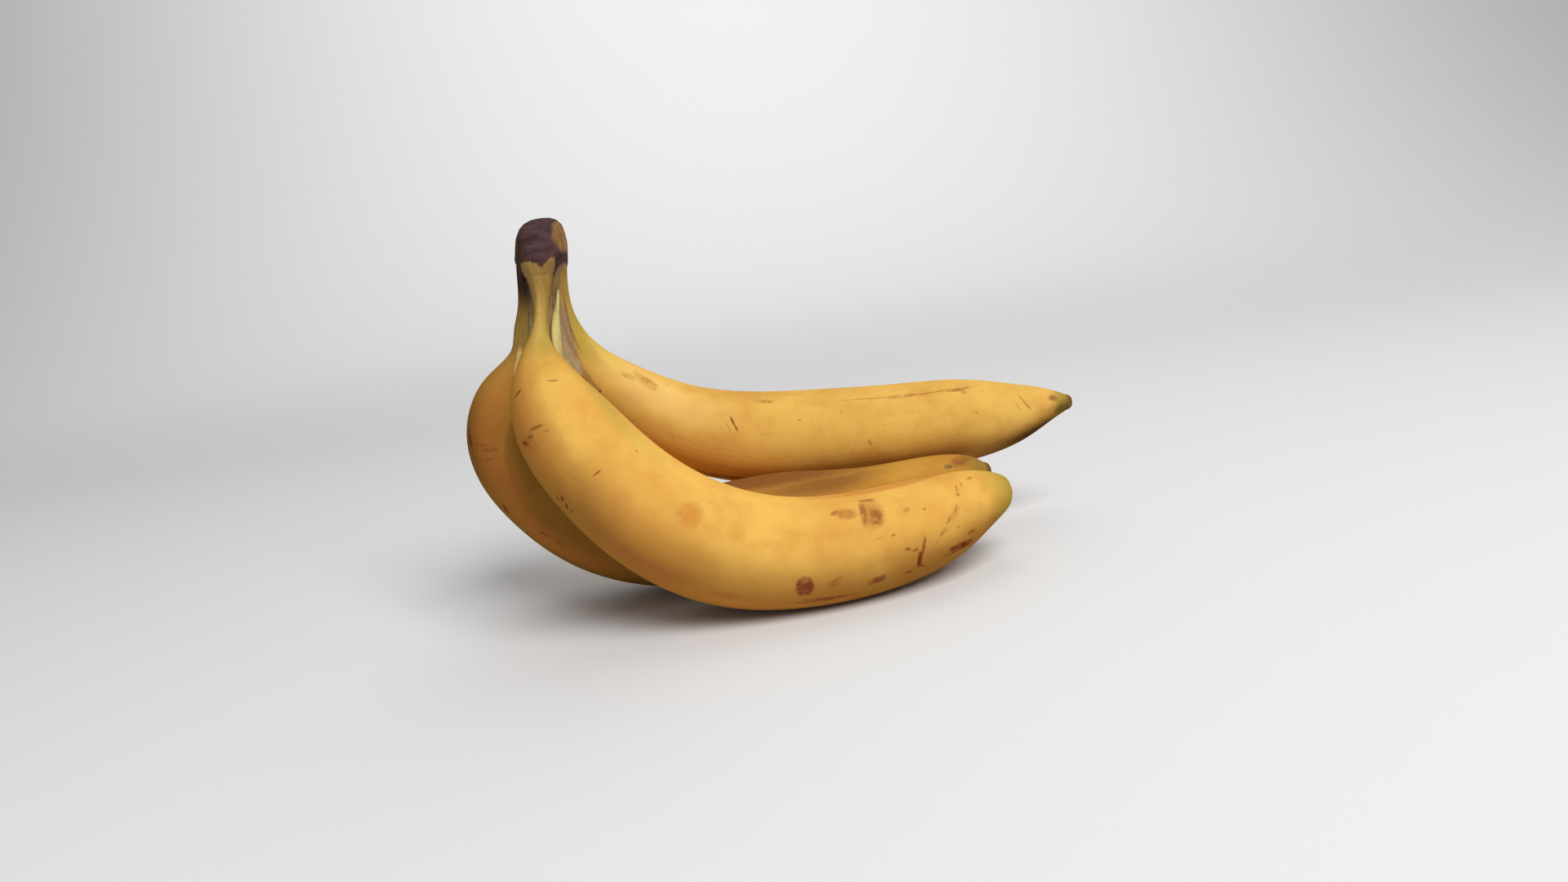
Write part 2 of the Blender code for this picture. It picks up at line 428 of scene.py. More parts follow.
# The scar is egg-shaped with a blotched edge, on the side towards the flower ends.
away = node(tree, "Mapping", {"Vector": enter["Place"], "Location": SCAR_PLACE, "Scale": SCAR_SIZE},
            vector_type="TEXTURE").outputs[0]
away = waver(tree, reckon_vector(tree, "LENGTH", {0: away}, "Value"), blot, 0.5)
scar = fade(tree, away, 0.8, 1.15, 1.0, 0.0)
scar_tone = over(tree, fade(tree, fibre, 0.42, 0.62), tone(132, 98, 54), tone(160, 118, 70))
bark = over(tree, scaled(tree, scar, SCAR_STRENGTH), bark, scar_tone)

# Painted shade: the flank away from the flower ends, turned from the light, is darker.
side = node(tree, "SeparateXYZ", {0: enter["Place"]}).outputs
shade_side = fade(tree, reckon(tree, "MULTIPLY_ADD", side[1], 0.35, side[0]), -77.5, -73.5, 1.0, 0.0)
shade_side_tone = over(tree, fade(tree, fibre, 0.4, 0.6), tone(54, 37, 33), tone(86, 59, 42))
bark = over(tree, shade_side, bark, shade_side_tone)

# The bark's edge is ragged, and soft low down, where the bark runs out over the outer stalk.
ragged = waver(tree, waver(tree, enter["Above"], fibre, 2.4), blot, 1.6)
stalk = over(tree, fade(tree, fibre, 0.4, 0.66), tone(186, 152, 80), tone(156, 120, 68))
upper = fade(tree, enter["Above"], -17.0, -3.0)
stalk = over(tree, scaled(tree, upper, UPPER_STALK_STRENGTH), stalk, tone(146, 118, 60))
low_down = fade(tree, side[2], 106.0, 114.0, 1.0, 0.0)
soft = reckon(tree, "MULTIPLY_ADD", low_down, 5.0, 0.45)
cover = fade(tree, ragged, scaled(tree, soft, -1.0), soft)
neck = fade(tree, ragged, -24.0, -9.0)
plug_in(tree, {"Bark": bark, "Cover": cover, "Stalk": stalk, "Neck": neck, "Height": fibre}, leave)

# A patch on the peel for a bruise, rub or scratch, and for painted shade and painted light: a wandering edge,
# soft or sharp, worn through in places by the grain. Its place and size are in mm. The higher the power, the
# squarer the patch.
PATCH_POWER = 2.5
mark_and_shade_patch, enter, leave = new_effect(
    "mark_and_shade_patch",
    (("Peel", "v"), ("Place", "v"), ("Slant", "v"), ("Size", "v"), ("Softness", "f"), ("Broken", "f"),
     ("Grain", "v"), ("Worn", "f"), ("Strength", "f")),
    (("Mask", "f"),))
tree = mark_and_shade_patch
local = node(tree, "Mapping", {
    "Vector": enter["Peel"], "Location": enter["Place"], "Rotation": enter["Slant"], "Scale": enter["Size"],
}, vector_type="TEXTURE").outputs[0]
wander = reckon_vector(tree, "SCALE", {0: enter["Grain"], 3: enter["Broken"]})
local = reckon_vector(tree, "ADD", {0: local, 1: wander})
local = reckon_vector(tree, "ABSOLUTE", {0: local})
local = reckon_vector(tree, "POWER", {0: local, 1: (PATCH_POWER, PATCH_POWER, PATCH_POWER)})
distance = reckon_vector(tree, "DOT_PRODUCT", {0: local, 1: (1.0, 1.0, 0.0)}, "Value")
distance = reckon(tree, "POWER", distance, 1 / PATCH_POWER)
inner = reckon(tree, "SUBTRACT", 1.0, enter["Softness"])
outer_edge = reckon(tree, "ADD", 1.0, enter["Softness"])
mask = scaled(tree, fade(tree, distance, inner, outer_edge, 1.0, 0.0), enter["Worn"])
plug_in(tree, {"Mask": scaled(tree, mask, enter["Strength"])}, leave)

# Only patches smaller than this are worn through in places, in square mm.
BROAD_PATCH = 110


def peel_material(name, line, length, looks, end, layers):
    """The finger's own peel, with its bruises, worn patches, painted shade and painted light, in the order in
    which they lie on each other.

    The looks are the ripe peel's own inputs, and the end is the tone of the dried flower end. Each layer is a
    colour and its marks. A mark is its place along in mm and round in degrees, its length and width in mm,
    its slant in degrees, how soft and how broken its edge is, and its strength.
    """
    curve, steps = smooth_line(line, RINGS)
    material, tree = new_material(name)
    place = place_in_mm(tree)
    peel = stored(tree, "peel", "Vector")
    wood = stored(tree, "wood", "Vector")
    made = place_effect(tree, ripe_peel, {
        "Peel": peel, "Wood": wood, "Place": place, "Length": length, **looks})
    bark = place_effect(tree, crown_bark, {"Place": place, "Above": stored(tree, "bark")})
    colour = over(tree, bark["Neck"], made["Color"], bark["Stalk"])
    specks = grain(tree, place, 0.9, 3.0, 0.6)
    coarse = node(tree, "TexNoise", {"Vector": place, "Scale": 0.42, "Detail": 4.0, "Roughness": 0.7})
    coarse = reckon_vector(tree, "SUBTRACT", {0: coarse.outputs["Color"], 1: (0.5, 0.5, 0.5)})
    worn = fade(tree, grain(tree, place, 0.5, 4.0, 0.7), 0.34, 0.56, 0.45, 1.0)
    for layer_tone, marks in layers:
        mask = None
        for at, turn, long, wide, slant, softness, broken, strength in marks:
            arc = math.radians(turn) * float(np.interp(at, steps, curve[:, 3]))
            one = place_effect(tree, mark_and_shade_patch, {
                "Peel": peel, "Place": (at, arc, 0), "Slant": (0, 0, math.radians(slant)),
                "Size": (long / 2, wide / 2, 1), "Softness": softness, "Broken": broken, "Grain": coarse,
                "Worn": worn if long * wide < BROAD_PATCH else 1.0, "Strength": strength})["Mask"]
            mask = one if mask is None else reckon(tree, "MAXIMUM", mask, one)
        colour = over(tree, mask, colour, layer_tone)

    # Then the dried flower end, with a ragged edge, and the crown's bark over the stalk.
    from_end = reckon(tree, "SUBTRACT", length, node(tree, "SeparateXYZ", {0: peel}).outputs[0])
    colour = over(tree, fade(tree, waver(tree, from_end, specks, 3.0), -1.6, 0.6, 0.9, 0.0), colour, end)
    colour = over(tree, bark["Cover"], colour, bark["Bark"])
    height = reckon(tree, "MULTIPLY_ADD", bark["Height"], scaled(tree, bark["Neck"], 1.5), made["Height"])
    rough = reckon(tree, "MULTIPLY_ADD", bark["Cover"], 0.3, made["Roughness"])
    bump = node(tree, "Bump", {"Strength": 0.25, "Distance": 0.0004, "Height": height}).outputs[0]
    shader = node(tree, "BsdfPrincipled", {
        "Base Color": colour, "Roughness": rough, "Specular IOR Level": 0.0, "Normal": bump})
    node(tree, "OutputMaterial", {"Surface": shader.outputs[0]})
    return material


NECK_GREEN = tone(160, 138, 56)
# The tone of the painted shade on a finger's belly, where it faces down away from the light.
UNDERSIDE_SHADE = tone(130, 80, 28)

# Its peel's colours, how strong the belly's painted shade and the ochre clouds are, and how far in mm the
# green reaches from the crown and from the flower end.
FRONT_PEEL = {
    "Ripe": tone(238, 188, 92), "Ochre": tone(212, 150, 68), "Green": NECK_GREEN, "Underside Shade": UNDERSIDE_SHADE,
    "Underside Shade Strength": 0.74, "Neck Green": 62.0, "Tip Green": 17.0, "Clouds": 0.55}
FRONT_END = tone(112, 88, 42)

# Its marks, from the lowest up: olive streaks down the neck, broad bruises under the skin, a pale rub, brown
# rubs with painted shade low on the shoulder among them, and dark dry marks.
FRONT_RUBS_AND_SHADE = (
    (tone(184, 162, 74), (
        (52, -92, 60, 8, 0, 0.9, 0.5, 0.55),
        (28, -62, 24, 5, 0, 0.9, 0.5, 0.5),
    )),
    (tone(190, 134, 60), (
        (130, 20, 44, 14, 0, 0.9, 0.5, 0.6),
        (62, 34, 34, 14, 0, 0.9, 0.5, 0.55),
    )),
    (tone(206, 168, 96), (
        (27, -14, 24, 3, 0, 0.8, 0.5, 0.6),
    )),
    (tone(208, 136, 62), (
        (108.3, -33, 8, 7.5, 0, 0.45, 1, 0.75),
        (125.6, -32, 5.5, 5.5, 0, 0.6, 1, 0.4),
        # Painted shade: the shoulder is darker low down on its side away from the light.
        (50.9, 40, 30, 12, 8, 0.9, 1, 0.65),
        (63.9, 18, 20, 12, 20, 0.9, 1.6, 0.4),
        (47.9, 5, 14, 9, 20, 0.9, 1.6, 0.35),
        (182.9, -92, 60, 6, 6, 0.4, 0.5, 0.75),
        (95.9, 5, 26, 11, 10, 0.9, 1.6, 0.3),
        (150.9, -20, 30, 10, 0, 0.9, 1.6, 0.2),
        (125.9, 48, 60, 9, 0, 0.9, 1, 0.5),
    )),
    (tone(176, 106, 56), (
        (108.6, 28, 15, 5.5, -14, 0.7, 1.6, 0.7),
        (99.9, 38, 24, 7, 12, 0.8, 1, 0.55),
        (126.4, 32, 6, 3, 0, 0.6, 1.6, 0.6),
        (161.2, -54, 6, 3.6, 10, 0.45, 1, 0.7),
        (168.9, -49, 9, 6.6, 100, 0.5, 0.5, 0.6),
        (193.4, -17, 4.4, 2.6, -24, 0.6, 2.4, 0.4),
        (188.6, -3, 2.6, 1.4, -35, 0.6, 2.4, 0.4),
        (185.4, 6, 2.4, 1, -35, 0.6, 2.4, 0.4),
        (75.9, 40, 8, 4, 60, 0.8, 1, 0.4),
        (60.9, 38, 6, 4, 100, 0.8, 1, 0.5),
    )),
    (tone(132, 62, 38), (
        (169.1, -67, 5, 1.6, 12, 0.45, 1, 0.6),
        (166.3, -52, 7.6, 1.9, 98, 0.45, 1, 0.6),
        (169.9, -43, 5.4, 4, 100, 0.5, 1, 0.6),
        (157.3, -57, 2.6, 1.3, -22, 0.5, 1, 0.6),
        (146.6, 18, 6.6, 4.6, 88, 0.2, 0.5, 1),
        (166.4, 27, 5.4, 2.6, -14, 0.3, 1, 0.9),
        (181.1, 4, 6, 1.1, 108, 0.3, 1, 0.85),
        (176.3, 1, 1.8, 1, 20, 0.4, 1, 0.75),
        (178.3, 5, 1.8, 1, 0, 0.4, 1, 0.75),
        (155.3, 14, 3.4, 1, -24, 0.4, 1.6, 0.55),
        (154.5, 20, 3, 2, 10, 0.5, 1.6, 0.45),
        (175.8, 31, 2.4, 0.9, 10, 0.3, 1, 0.95),
        (153.8, 39, 12.5, 1.3, 3, 0.5, 2.4, 0.9),
        (149, 42, 12, 1.1, 0, 0.5, 2.4, 0.7),
        (190.7, -12, 2.2, 1.1, -40, 0.5, 2.4, 0.5),
        (187.3, -1, 1.8, 0.9, -41, 0.5, 2.4, 0.45),
        (194.5, -22, 2, 1, -50, 0.5, 2.4, 0.45),
        (197.7, -37, 1.3, 1, 0, 0.4, 1, 0.7),
        (198.6, -45, 2.6, 0.7, 110, 0.5, 1.6, 0.55),
        (201.2, -49, 2, 0.7, -70, 0.4, 1, 0.6),
        (205.9, -56, 2.2, 1.1, 0, 0.5, 1, 0.5),
        (184.9, -36, 1, 0.9, 0, 0.5, 1, 0.5),
        (179.5, -42, 2, 1.2, 0, 0.7, 1, 0.4),
        (173, -19, 1.3, 0.8, 0, 0.5, 1, 0.6),
        (168.9, -20, 3, 0.5, 0, 0.5, 1.6, 0.3),
        (78, -10, 3.2, 0.6, 95, 0.5, 1, 0.7),
        (50.8, -27, 3, 0.5, 105, 0.5, 1, 0.7),
        (61.4, 5, 2.4, 0.5, 100, 0.5, 1, 0.4),
    )),
    (tone(108, 42, 24), (
        (179.3, 19, 5.8, 1.5, 99, 0.3, 1, 0.9),
        (179.8, 28, 3, 0.7, 40, 0.4, 1, 0.7),
        (49.8, 29, 3.8, 0.6, 81, 0.4, 1, 0.85),
        (59.4, 14, 5, 0.7, 101, 0.5, 1, 0.7),
        (60.2, 27, 2.4, 0.8, 100, 0.5, 1, 0.65),
        (60.5, 41, 2.6, 1.2, 110, 0.5, 1, 0.85),
        (76.5, 42, 1.9, 0.9, 60, 0.4, 1, 1),
        (78.8, 45, 2, 0.9, 50, 0.4, 1, 1),
        (80.7, 44, 1, 0.8, 0, 0.4, 1, 0.9),
        (75.7, 50, 1.3, 0.8, 0, 0.4, 1, 0.8),
        (193.3, 30, 9, 2.8, 11, 0.3, 1, 1),
        (189.8, 33, 5, 1, 8, 0.5, 1.6, 0.75),
        (197.3, 18, 3, 1.4, 8, 0.5, 1.6, 0.6),
    )),
)

front_skin, front_length = banana_skin("front_banana_peel", FRONT_LINE, FRONT_RIDGES, 0.4)
front_skin.data.materials.append(
    peel_material("front_peel", FRONT_LINE, front_length, FRONT_PEEL, FRONT_END, FRONT_RUBS_AND_SHADE))
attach(front_skin, "root")
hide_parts("banana_front")

# Rear banana
# The straightest finger, farthest from the camera. It leans over the other two with its belly off the
# surface, held up by the crown alone, and its flower end points away to the right, darkened underneath by
# painted shade.
REAR_LINE = (
    (-67.5, 9.5, 118, 3.9, 1.3),
    (-69, 12, 101, 3.6, 1.25),
    (-66.5, 16, 85.5, 6.2, 1.1),
    (-56, 21.5, 69, 10.8, 1),
    (-35.5, 27, 52.3, 14.9, 1),
    (-12, 29.5, 44, 16.7, 1),
    (17, 31, 40.5, 17.2, 1),
    (44, 32, 39, 16.6, 1),
    (65, 32, 38.8, 15.2, 1),
    (83, 32, 39.1, 11.4, 1),
    (95.5, 31.5, 40.3, 6.6, 1),
    (103, 31, 40.4, 2.9, 1),
)
REAR_RIDGES = ((-50, 0.6), (22, 0.45), (94, 0.6), (166, 0.5), (-122, 0.55))

# A painted highlight along its top ridge, painted shade underneath, a painted shadow and painted light along
# its lower flank, and browned where its stalk faced its neighbour's.
REAR_RUBS_AND_PAINTED_LIGHT = (
    # Painted highlight: paler along the top ridge of the shoulder, where the light falls.
    (tone(248, 206, 132), (
        (62, -42, 50, 12, 0, 0.9, 0.5, 0.45),
    )),
    (tone(204, 134, 50), (
        (78, 34, 46, 15, 6, 0.3, 0.1, 0.18),
    )),
    # Painted shade: the underside towards the flower end is darker.
    (tone(124, 82, 36), (
        (198, 78, 56, 13, 0, 0.8, 0.5, 0.8),
    )),
    (tone(186, 124, 58), (
        (58.1, -56, 9, 3.6, 3, 0.6, 1.6, 0.8),
        (51.2, -47, 5.5, 2, -20, 0.6, 1.6, 0.5),
        # Painted shade: a soft darker patch low on the body, among brown blotches.
        (146.9, 24, 13, 6, 6, 0.9, 1, 0.7),
        (185, 38, 46, 10, 4, 0.9, 1, 0.4),
    )),
    (tone(184, 158, 66), (
        (25, -62, 28, 4.6, 2, 0.8, 0.5, 0.8),
    )),
    (tone(206, 188, 74), (
        (35, -88, 34, 3.4, 0, 0.8, 0.5, 0.6),
    )),
    (tone(166, 138, 104), (
        (27, 24, 25, 7.4, 12, 0.15, 0.1, 0.95),
    )),
    (tone(108, 62, 46), (
        (21.5, -31, 18, 0.6, 2, 0.5, 1, 0.75),
    )),
    # Painted light: the lower flank, which the front finger shades, is lit up orange.
    (tone(246, 182, 88), (
        (86, 40, 60, 17, 0, 0.8, 0.5, 0.85),
        (134, 52, 70, 9, 0, 0.8, 0.5, 0.6),
    )),
    # Painted shadow: a dark band along the lower flank, over the valley below it.
    (tone(132, 72, 46), (
        (114, 55, 50, 4, -2, 0.4, 0.5, 0.7),
        (160, 58, 60, 4, 0, 0.5, 1, 0.55),
    )),
    (tone(164, 92, 50), (
        (147.9, -55, 20, 0.7, 1, 0.6, 1.6, 0.55),
        (171, -56, 27, 0.7, -3, 0.6, 1.6, 0.6),
        (157.5, -55, 5, 1.4, 0, 0.5, 1.6, 0.6),
        (164, -56, 5.5, 1.2, 0, 0.5, 1.6, 0.6),
        (181.4, -58, 8, 1.4, -5, 0.4, 2.4, 0.85),
        (182.4, -55, 4, 1.8, 60, 0.5, 2.4, 0.5),
        (109.3, -60, 5, 1.7, 0, 0.5, 1.6, 0.65),
        (205.2, -26, 7.5, 0.8, 63, 0.5, 1.6, 0.6),
        (202.2, -20, 3, 0.6, 70, 0.5, 1.6, 0.5),
        (94.6, -23, 4.5, 0.5, 54, 0.6, 1, 0.4),
        (146.2, 2, 2.2, 1.1, 70, 0.5, 1, 0.6),
        (185.8, -20, 1.1, 0.9, 0, 0.4, 1, 0.5),
        (137, -38, 1, 0.8, 0, 0.4, 1, 0.4),
    )),
    (tone(146, 108, 54), (
        (225, -26, 9, 22, 0, 0.7, 0.5, 0.5),
    )),
    (tone(118, 62, 40), (
        (97, -26, 6.4, 0.8, 54, 0.4, 1, 0.95),
        (216, -33, 3.6, 2, 30, 0.5, 1, 0.7),
    )),
    # Painted shade: the flower end is near black underneath.
    (tone(62, 40, 16), (
        (210, 66, 34, 9, -8, 0.7, 0.5, 0.9),
        (220, 44, 9, 7, -10, 0.8, 0.5, 0.85),
    )),
)

# Its peel: less painted shade on the belly than the front finger's, and green at the crown's end more than at
# the other.
REAR_PEEL = {
    "Ripe": tone(230, 183, 91), "Ochre": tone(206, 149, 70), "Green": NECK_GREEN, "Underside Shade": UNDERSIDE_SHADE,
    "Underside Shade Strength": 0.47, "Neck Green": 50.0, "Tip Green": 6.0, "Clouds": 0.6}
REAR_END = tone(104, 76, 44)

rear_skin, rear_length = banana_skin("rear_banana_peel", REAR_LINE, REAR_RIDGES, 2.6)
rear_skin.data.materials.append(
    peel_material("rear_peel", REAR_LINE, rear_length, REAR_PEEL, REAR_END, REAR_RUBS_AND_PAINTED_LIGHT))
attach(rear_skin, "root")
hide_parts("banana_rear")

# Outer banana
# The finger between the two, from the outer row of the hand. It bulges out round the bend, lies on its belly
# and ends in the valley between its neighbours. Its peel is browner, and painted shade darkens it where they
# hem it in.
OUTER_LINE = (
    (-76.2, 8.5, 118.5, 3.9, 1.2),
    (-76.7, 8.8, 113, 4.1, 1.3),
    (-78.9, 8, 101, 3.9, 1.2),
    (-80.4, 7.8, 95, 4.6, 1.15),
    (-82.3, 7.5, 88, 4.9, 1.1),
    (-88.8, 6, 74.5, 11.8, 1),
    (-90.2, 5, 61.5, 16.6, 1),
    (-82.8, 5, 42.8, 17.6, 1),
    (-66, 5, 25.6, 17.4, 1),
    (-37, 5.5, 16.4, 17, 1),
    (-7, 6.5, 16.8, 17.1, 1),
    (21, 7.5, 17.7, 14.4, 1),
    (43, 9, 20.8, 11.6, 1),
    (57, 10, 23.3, 8.6, 1),
    (64, 10, 24.3, 5.4, 1),
    (67, 10, 24.4, 3.2, 1),
)
OUTER_RIDGES = ((-40, 0.5), (30, 0.7), (104, 0.5), (172, 0.5), (-100, 1.1))

# Painted shade: its flank beside the front finger is darker behind a clear edge, where that finger shades it.
OUTER_RUBS_AND_SHADE = (
    (tone(144, 97, 40), (
        (79, -19, 84, 24, 18, 0.06, 0.1, 0.7),
    )),
    (tone(186, 108, 54), (
        (61.9, 24, 40, 12, 6, 0.8, 1, 0.45),
        (89.9, 34, 40, 8, 0, 0.8, 1, 0.5),
    )),
    # Painted shade: its top, down in the valley between its neighbours, is darker.
    (tone(130, 82, 44), (
        (158, -84, 74, 12, 2, 0.6, 0.5, 0.9),
        (180, -60, 40, 9, 0, 0.7, 0.5, 0.75),
    )),
    (tone(228, 200, 130), (
        (34.1, 8, 9.5, 1.6, -7, 0.25, 0.5, 1),
    )),
    (tone(110, 48, 34), (
        (57.4, 52, 4.4, 2, -20, 0.5, 1, 0.9),
        (60.6, 18, 6, 1, 98, 0.6, 1.6, 0.4),
        (62.6, 24, 5, 0.8, 98, 0.6, 1.6, 0.4),
        (58.9, 30, 5, 0.8, 98, 0.6, 1.6, 0.35),
        (76.2, 44, 3.4, 1.5, 30, 0.4, 1, 0.95),
        (88.7, 29, 3.2, 1, -17, 0.5, 1.6, 0.7),
        (94, 27, 2.2, 0.9, -9, 0.5, 1.6, 0.7),
        (230.9, -60, 6, 5, 0, 0.6, 1, 0.6),
    )),
    (tone(84, 78, 70), (
        (225.9, -47, 3.2, 1.6, 24, 0.4, 1, 0.8),
    )),
)

# Its peel: duller and browner all over, partly its own colour and partly painted shade.
OUTER_PEEL = {
    "Ripe": tone(200, 149, 63), "Ochre": tone(178, 122, 51), "Green": tone(148, 118, 52),
    "Underside Shade": tone(100, 68, 28), "Underside Shade Strength": 0.62, "Neck Green": 62.0, "Tip Green": 9.0, "Clouds": 0.7}
OUTER_END = tone(96, 68, 48)

outer_skin, outer_length = banana_skin("outer_banana_peel", OUTER_LINE, OUTER_RIDGES, 4.3)
outer_skin.data.materials.append(
    peel_material("outer_peel", OUTER_LINE, outer_length, OUTER_PEEL, OUTER_END, OUTER_RUBS_AND_SHADE))
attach(outer_skin, "root")
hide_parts("banana_outer")

# Crown
# The woody cushion by which the hand was cut from its bunch. It has dried to a dark purple-brown, and its
# lower edge runs out in lobes over the three stalks, which it grew from.
CROWN_BASE = (-71.7, 4.2, 112)
CROWN_TOP = (-69, 4.2, 130.4)
CROWN_HALF_WIDTH = 8
CROWN_HALF_DEPTH = 11.5
CROWN_SQUARENESS = 2.6

# How wide the cushion is at each share of its height.
CROWN_PROFILE = (
    (-0.6, 1.02), (0, 1.07), (0.25, 1.05), (0.5, 1.01), (0.7, 0.95), (0.84, 0.83), (0.94, 0.63), (0.99, 0.36),
    (1, 0.1),
)

# How many points each ring of the core has. The rings are even up to the dome, and closer and closer towards
# its top. Heights are in mm.
CROWN_STEPS = 144
CORE_FOOT = 97.0
CORE_RINGS = 90
DOME_FOOT = 124
DOME_RISE = 6.4
DOME_RINGS = 42

# Under the bark the core stands a little proud of the stalks. Below the bark it is this much further in, and
# it comes out between these heights.
CORE_PROUD = 0.09
CORE_SUNK = 0.5
CORE_COMES_OUT = (111, 114)

# The core's own half width at its foot, how much that grows, and the height at which it is full.
CORE_START = 0.5
CORE_GROWTH = 5
CORE_FULL = 110

# The higher the power, the sharper the valleys between the stalks. They swell into the cushion in this range
# of heights, and count as hollows where the core stands this far out from between them.
MELT_POWER = 9
SWELL = (111.5, 119)
HOLLOW = (0.1, 1.4)

# The bark's ribs and lumps: their heights, how far they are sunk, and the heights over which they come.
RIB_HEIGHT = 0.2
LUMP_HEIGHT = 0.3
BARK_SINK = 0.12
WOODY = (108, 117)

# How rough each finer wave of the ribs is, how much finer each is, and how many there are.
CORE_RIBS = (0.6, 2.1, 4)
WEB_RIBS = (0.6, 2.1, 3)

# Between the stalks the crown goes on down as thin webs: how low each reaches, its half thickness, how far
# its lower edge arches up between them in mm, and whether it was torn beside its second stalk.
WEBS = (
    (FRONT_LINE, REAR_LINE, 71, 0.9, 8, True),
    (FRONT_LINE, OUTER_LINE, 88, 0.9, 6, False),
    (OUTER_LINE, REAR_LINE, 87, 1, 6, False),
)
WEB_TOP = 115
WEB_RINGS = 60
WEB_STEPS = 40
WEB_UNEVEN = 0.35

# A web thickens upwards to the crown and runs out thin at its foot, and only the middle of the foot arches.
# The torn part is a share of the way across, below the crown.
WEB_GROWTH = 1.4
WEB_THICKENS = (92, 112)
FOOT_THICKNESS = 0.2
FOOT_HEIGHT = 8
ARCH_START = 0.28
ARCH_SPAN = 0.36
ARCH_HEIGHT = 20
TORN_ACROSS = (0.5, 0.66)
TORN_BELOW = (108, 103)

# A pale strip of torn skin runs down beside the rear stalk: x, y, z and half thickness in mm.
PALE_STRIP = (
    (-67.1, 5.4, 107, 0.4),
    (-67.8, 3.1, 102, 0.8),
    (-68.9, 0.4, 96, 1.3),
    (-69.3, -2.4, 90, 1.6),
    (-68.6, -5.2, 84, 1.4),
    (-67.6, -7, 80.5, 1.1),
)
STRIP_RINGS = 70
STRIP_STEPS = 24
STRIP_DEPTH = 1.6
STRIP_UNEVEN = 0.15

# A finger's stalk is within this many rings of the upper end of its centreline.
STALK_RINGS = 90


def stalk_at(line, level):
    """Where a stalk's middle is at a height, and its half width and half depth there, in mm."""
    curve = smooth_line(line, RINGS)[0]
    i = int(np.argmin(np.abs(curve[:STALK_RINGS, 2] - level)))
    return curve[i, :2] + np.array(HAND_SHIFT[:2]), curve[i, 3], curve[i, 3] * curve[i, 4]


def far_side(ways, middle, wide, deep):
    """How far out an oval's far side is along each way, in mm, or 0 where the way misses the oval.

    A way meets the oval where squares * out ** 2 + slopes * out + rest is 0.
    """
    x, y = middle
    squares = (ways[0] / wide) ** 2 + (ways[1] / deep) ** 2
    slopes = -2 * (ways[0] * x / wide ** 2 + ways[1] * y / deep ** 2)
    rest = (x / wide) ** 2 + (y / deep) ** 2 - 1
    hits = slopes ** 2 - 4 * squares * rest
    far = np.where(hits > 0, (-slopes + np.sqrt(np.maximum(hits, 0))) / (2 * squares), 0)
    return np.maximum(far, 0)


# The crown's parts: the points of each, its faces, and how hollow, pale and scarred its skin is at its
# points. Hollow skin is the grey-tan kind between the stalks, with painted shade in it, and scarred skin is
# the torn kind.
SKIN_KINDS = ("hollow", "pale", "scarred")
parts = []


def add_part(rows, **kinds):
    """Close a shape over rings of equal counts. A kind of skin that isn't named is 0 all over it."""
    rings, sides = np.shape(rows)[:2]
    points = np.reshape(rows, (-1, 3))
    skin = [np.broadcast_to(kinds.get(kind, 0.0), len(points)) for kind in SKIN_KINDS]
    parts.append((points, loft_faces(rings, sides), skin))


# The cushion and the core under it, ring by ring: three stalks run together, and swell into the cushion.
rise = np.array(CROWN_TOP) - np.array(CROWN_BASE)
turn = np.linspace(0, 2 * math.pi, CROWN_STEPS, endpoint=False)
ways = np.stack((np.cos(turn), np.sin(turn)))
square = (np.abs(ways[0] / CROWN_HALF_WIDTH) ** CROWN_SQUARENESS
          + np.abs(ways[1] / CROWN_HALF_DEPTH) ** CROWN_SQUARENESS) ** (-1 / CROWN_SQUARENESS)
shares, widths = np.array(CROWN_PROFILE).T
levels = np.concatenate((np.linspace(CORE_FOOT, DOME_FOOT, CORE_RINGS, endpoint=False),
                         DOME_FOOT + DOME_RISE * np.sin(np.linspace(0, math.pi / 2, DOME_RINGS))))
rows = []
hollows = []
for level in levels:
    share = (level - CROWN_BASE[2]) / rise[2]
    centre = np.array(CROWN_BASE) + np.array(HAND_SHIFT) + rise * share
    cushion = np.interp(share, shares, widths) * square
    proud = CORE_PROUD - CORE_SUNK * (1 - ease(*CORE_COMES_OUT, level))
    lobes = []
    for line in (FRONT_LINE, REAR_LINE, OUTER_LINE):
        middle, wide, deep = stalk_at(line, level)
        lobes.append(far_side(ways, middle - centre[:2], wide + proud, deep + proud))
    stalks = np.max(lobes, axis=0)
    lobes.append(np.full(CROWN_STEPS, CORE_START + CORE_GROWTH * ease(CORE_FOOT, CORE_FULL, level)))
    together = np.sum(np.array(lobes) ** MELT_POWER, axis=0) ** (1 / MELT_POWER)
    merge = ease(*SWELL, level)
    reach = together * (1 - merge) + cushion * merge
    hollows.append(ease(*HOLLOW, reach - stalks) * (1 - merge))
    rows.append(np.column_stack((
        centre[0] + ways[0] * reach, centre[1] + ways[1] * reach, np.full(CROWN_STEPS, level))))

rows = np.array(rows)
outward = rows - rows.mean(axis=1)[:, None, :]
outward /= np.maximum(np.linalg.norm(outward, axis=-1), 1e-6)[:, :, None]
for point, out in zip(rows.reshape(-1, 3), outward.reshape(-1, 3)):
    woody = float(ease(*WOODY, point[2]))
    rib = noise.fractal(Vector((point[0] * 0.5, point[1] * 0.5, point[2] * 0.12)), *CORE_RIBS)
    lump = noise.noise(Vector(point) * 0.16)
    point += out * woody * (RIB_HEIGHT * rib + LUMP_HEIGHT * lump - BARK_SINK)
add_part(rows, hollow=np.ravel(hollows))

